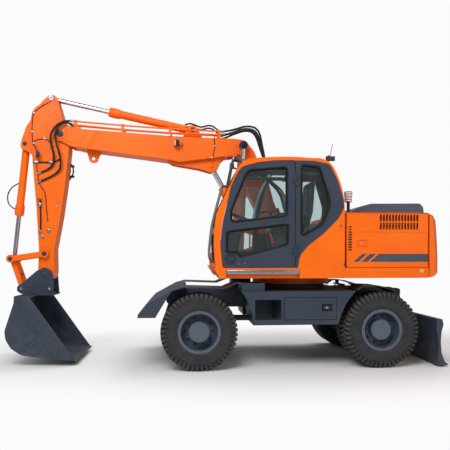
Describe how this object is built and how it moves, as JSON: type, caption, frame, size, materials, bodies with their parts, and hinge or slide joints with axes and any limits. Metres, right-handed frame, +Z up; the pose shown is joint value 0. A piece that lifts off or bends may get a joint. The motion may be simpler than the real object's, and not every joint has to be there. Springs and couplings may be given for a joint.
{
  "type": "wheeled excavator with two-piece boom and dozer blade",
  "caption": "Wheeled excavator with cab, two-piece boom, arm, smooth-edged ditching bucket, twin tyres and a rear dozer blade.",
  "frame": {"origin": "on the ground under the slewing axis", "axes": "-X is the machine's forward direction, -Y its left side where the cab is, +Z up"},
  "size_m": [6.5067, 2.5, 4.0126],
  "materials": {
    "orange_paint": "gloss industrial paint",
    "grey_paint": "slate grey industrial paint",
    "dark_paint": "black paint",
    "chrome_rod": "ground and plated rod",
    "tyre": "weathered tyre rubber",
    "glass": "tinted cab glass",
    "seat_fabric": "woven seat cloth",
    "black_plastic": "textured plastic",
    "bare_steel": "machined steel",
    "hose_rubber": "hydraulic hose rubber",
    "cast_iron": "painted casting"
  },
  "bodies": {
    "chassis": {"chassis_frame": "grey_paint", "side_boxes": "grey_paint", "front_guard": "grey_paint", "rear_axle": "cast_iron", "front_axle": "cast_iron", "driveline": "cast_iron", "slew_ring_lower": "bare_steel", "rear_fenders": "grey_paint"},
    "knuckle_left": {"knuckle_left": "cast_iron"},
    "knuckle_right": {"knuckle_right": "cast_iron"},
    "wheel_front_left": {"tyres_front_left": "tyre", "rim_front_left": "grey_paint"},
    "wheel_front_right": {"tyres_front_right": "tyre", "rim_front_right": "grey_paint"},
    "wheel_rear_left": {"tyres_rear_left": "tyre", "rim_rear_left": "grey_paint"},
    "wheel_rear_right": {"tyres_rear_right": "tyre", "rim_rear_right": "grey_paint"},
    "toolbox_door": {"toolbox_door": "grey_paint"},
    "blade": {"blade": "grey_paint"},
    "blade_barrels": {"blade_cylinder_barrels": "grey_paint"},
    "blade_rods": {"blade_cylinder_rods": "chrome_rod"},
    "upper_structure": {"upper_frame": "orange_paint", "counterweight": "orange_paint", "left_housing": "orange_paint", "right_housing": "orange_paint", "engine": "cast_iron", "tank_and_box": "orange_paint", "cab_shell": "orange_paint", "cab_glass": "glass", "seat": "seat_fabric", "controls": "black_plastic", "boom_bracket": "orange_paint", "cab_trim": "grey_paint", "upper_fittings": "black_plastic"},
    "cab_door": {"cab_door": "grey_paint", "door_glass": "glass"},
    "service_door_left": {"service_door_left": "orange_paint"},
    "service_door_right": {"service_door_right": "orange_paint"},
    "top_cover": {"top_cover": "dark_paint"},
    "lower_boom": {"lower_boom": "orange_paint", "foot_hoses": "hose_rubber"},
    "upper_boom": {"upper_boom": "orange_paint", "boom_pipes": "dark_paint", "lifting_eye": "orange_paint", "boom_hoses": "hose_rubber", "arm_hoses": "hose_rubber"},
    "arm": {"arm": "orange_paint"},
    "bucket": {"quick_coupler": "grey_paint", "bucket": "grey_paint"},
    "guide_links": {"guide_links": "orange_paint"},
    "push_link": {"push_link": "orange_paint"},
    "lift_barrels": {"lift_cylinder_barrels": "orange_paint"},
    "lift_rods": {"lift_cylinder_rods": "chrome_rod"},
    "positioning_barrel": {"positioning_cylinder_barrel": "orange_paint"},
    "positioning_rod": {"positioning_cylinder_rod": "chrome_rod"},
    "arm_barrel": {"arm_cylinder_barrel": "orange_paint"},
    "arm_rod": {"arm_cylinder_rod": "chrome_rod"},
    "bucket_barrel": {"bucket_cylinder_barrel": "orange_paint"},
    "bucket_rod": {"bucket_cylinder_rod": "chrome_rod"}
  },
  "joints": [
    {"name": "slew", "type": "hinge", "parent": "chassis", "child": "upper_structure", "pos_m": [0, 0, 1.15], "axis": [0, 0, 1], "continuous": true},
    {"name": "lower_boom_lift", "type": "hinge", "parent": "upper_structure", "child": "lower_boom", "pos_m": [-0.15, 0.08, 1.72], "axis": [0, -1, 0], "range_deg": [-20, 28], "deforming": ["foot_hoses"]},
    {"name": "lift_cylinder_swing", "type": "hinge", "parent": "upper_structure", "child": "lift_barrels", "pos_m": [-0.83, 0.08, 1.56], "axis": [0, 1, 0], "range_deg": [-26.59, 19.14]},
    {"name": "lift_cylinder_stroke", "type": "slide", "parent": "lift_barrels", "child": "lift_rods", "axis": [0.0389, 0, 0.9992], "range_m": [-0.3335, 0.2388]},
    {"name": "upper_boom_fold", "type": "hinge", "parent": "lower_boom", "child": "upper_boom", "pos_m": [-0.764, 0.08, 3.255], "axis": [0, 1, 0], "range_deg": [-30, 32], "deforming": ["boom_hoses"]},
    {"name": "positioning_cylinder_swing", "type": "hinge", "parent": "lower_boom", "child": "positioning_barrel", "pos_m": [-0.7, 0.08, 2], "axis": [0, 1, 0], "range_deg": [-1.14, 1.1]},
    {"name": "positioning_cylinder_stroke", "type": "slide", "parent": "positioning_barrel", "child": "positioning_rod", "axis": [-0.4952, 0, 0.8688], "range_m": [-0.289, 0.3082]},
    {"name": "arm_swing", "type": "hinge", "parent": "upper_boom", "child": "arm", "pos_m": [-3.51, 0.08, 3.395], "axis": [0, -1, 0], "range_deg": [-70, 20], "deforming": ["arm_hoses"]},
    {"name": "arm_cylinder_swing", "type": "hinge", "parent": "upper_boom", "child": "arm_barrel", "pos_m": [-1.535, 0.08, 3.52], "axis": [0, 1, 0], "range_deg": [-0.52, 0.55]},
    {"name": "arm_cylinder_stroke", "type": "slide", "parent": "arm_barrel", "child": "arm_rod", "axis": [-0.9797, 0, 0.2005], "range_m": [-0.6751, 0.1943]},
    {"name": "bucket_tilt", "type": "hinge", "parent": "arm", "child": "bucket", "pos_m": [-3.744, 0.08, 1.28], "axis": [0, 1, 0], "range_deg": [-55, 80]},
    {"name": "guide_link_swing", "type": "hinge", "parent": "arm", "child": "guide_links", "pos_m": [-3.74, 0.08, 1.6], "axis": [0, 1, 0], "range_deg": [-48.62, 70.5]},
    {"name": "push_link_swing", "type": "hinge", "parent": "guide_links", "child": "push_link", "pos_m": [-4.229, 0.08, 1.524], "axis": [0, 1, 0], "range_deg": [-45.48, 31.43]},
    {"name": "bucket_cylinder_swing", "type": "hinge", "parent": "arm", "child": "bucket_barrel", "pos_m": [-4.043, 0.08, 3.25], "axis": [0, 1, 0], "range_deg": [-3.5, 2.56]},
    {"name": "bucket_cylinder_stroke", "type": "slide", "parent": "bucket_barrel", "child": "bucket_rod", "axis": [-0.1071, 0, -0.9942], "range_m": [-0.5342, 0.3679]},
    {"name": "blade_lift", "type": "hinge", "parent": "chassis", "child": "blade", "pos_m": [1.56, 0, 0.64], "axis": [0, -1, 0], "range_deg": [-8, 22]},
    {"name": "blade_cylinder_swing", "type": "hinge", "parent": "chassis", "child": "blade_barrels", "pos_m": [1.668, 0, 1.01], "axis": [0, 1, 0], "range_deg": [-10.16, 4.01]},
    {"name": "blade_cylinder_stroke", "type": "slide", "parent": "blade_barrels", "child": "blade_rods", "axis": [0.2457, 0, -0.9694], "range_m": [-0.0845, 0.032]},
    {"name": "steering_left", "type": "hinge", "parent": "chassis", "child": "knuckle_left", "pos_m": [-1.46, -0.7, 0.527], "axis": [0, 0, 1], "range_deg": [-25, 25]},
    {"name": "steering_right", "type": "hinge", "parent": "chassis", "child": "knuckle_right", "pos_m": [-1.46, 0.7, 0.527], "axis": [0, 0, 1], "range_deg": [-25.5, 25.5]},
    {"name": "wheel_front_left_spin", "type": "hinge", "parent": "knuckle_left", "child": "wheel_front_left", "pos_m": [-1.46, -0.955, 0.527], "axis": [0, 1, 0], "continuous": true},
    {"name": "wheel_rear_left_spin", "type": "hinge", "parent": "chassis", "child": "wheel_rear_left", "pos_m": [1.09, -0.955, 0.527], "axis": [0, 1, 0], "continuous": true},
    {"name": "wheel_front_right_spin", "type": "hinge", "parent": "knuckle_right", "child": "wheel_front_right", "pos_m": [-1.46, 0.955, 0.527], "axis": [0, 1, 0], "continuous": true},
    {"name": "wheel_rear_right_spin", "type": "hinge", "parent": "chassis", "child": "wheel_rear_right", "pos_m": [1.09, 0.955, 0.527], "axis": [0, 1, 0], "continuous": true},
    {"name": "cab_door_hinge", "type": "hinge", "parent": "upper_structure", "child": "cab_door", "pos_m": [-0.139, -1.223, 2.1], "axis": [0, 0, 1], "range_deg": [0, 85]},
    {"name": "toolbox_door_hinge", "type": "hinge", "parent": "chassis", "child": "toolbox_door", "pos_m": [-0.277, -1.186, 0.84], "axis": [0, 0, -1], "range_deg": [0, 90]},
    {"name": "service_door_left_hinge", "type": "hinge", "parent": "upper_structure", "child": "service_door_left", "pos_m": [1.752, -1.176, 1.79], "axis": [0, 0, 1], "range_deg": [0, 90]},
    {"name": "service_door_right_hinge", "type": "hinge", "parent": "upper_structure", "child": "service_door_right", "pos_m": [1.752, 1.176, 1.79], "axis": [0, 0, -1], "range_deg": [0, 90]},
    {"name": "top_cover_hinge", "type": "hinge", "parent": "upper_structure", "child": "top_cover", "pos_m": [0.64, 0.08, 2.2], "axis": [0, -1, 0], "range_deg": [0, 60]}
  ],
  "couplings": [
    {"joint": "lift_cylinder_swing", "follows": "lower_boom_lift", "ratio": -0.93177},
    {"joint": "lift_cylinder_stroke", "follows": "lower_boom_lift", "m_per_rad": -0.67831},
    {"joint": "positioning_cylinder_swing", "follows": "upper_boom_fold", "ratio": -0.02001},
    {"joint": "positioning_cylinder_stroke", "follows": "upper_boom_fold", "m_per_rad": 0.54816},
    {"joint": "arm_cylinder_swing", "follows": "arm_swing", "ratio": -0.00077},
    {"joint": "arm_cylinder_stroke", "follows": "arm_swing", "m_per_rad": 0.55091},
    {"joint": "guide_link_swing", "follows": "bucket_tilt", "ratio": 0.875},
    {"joint": "push_link_swing", "follows": "bucket_tilt", "ratio": -0.56229},
    {"joint": "bucket_cylinder_swing", "follows": "bucket_tilt", "ratio": -0.03747},
    {"joint": "bucket_cylinder_stroke", "follows": "bucket_tilt", "m_per_rad": -0.38117},
    {"joint": "blade_cylinder_swing", "follows": "blade_lift", "ratio": -0.43893},
    {"joint": "blade_cylinder_stroke", "follows": "blade_lift", "m_per_rad": -0.21496},
    {"joint": "steering_right", "follows": "steering_left", "ratio": 1}
  ]
}
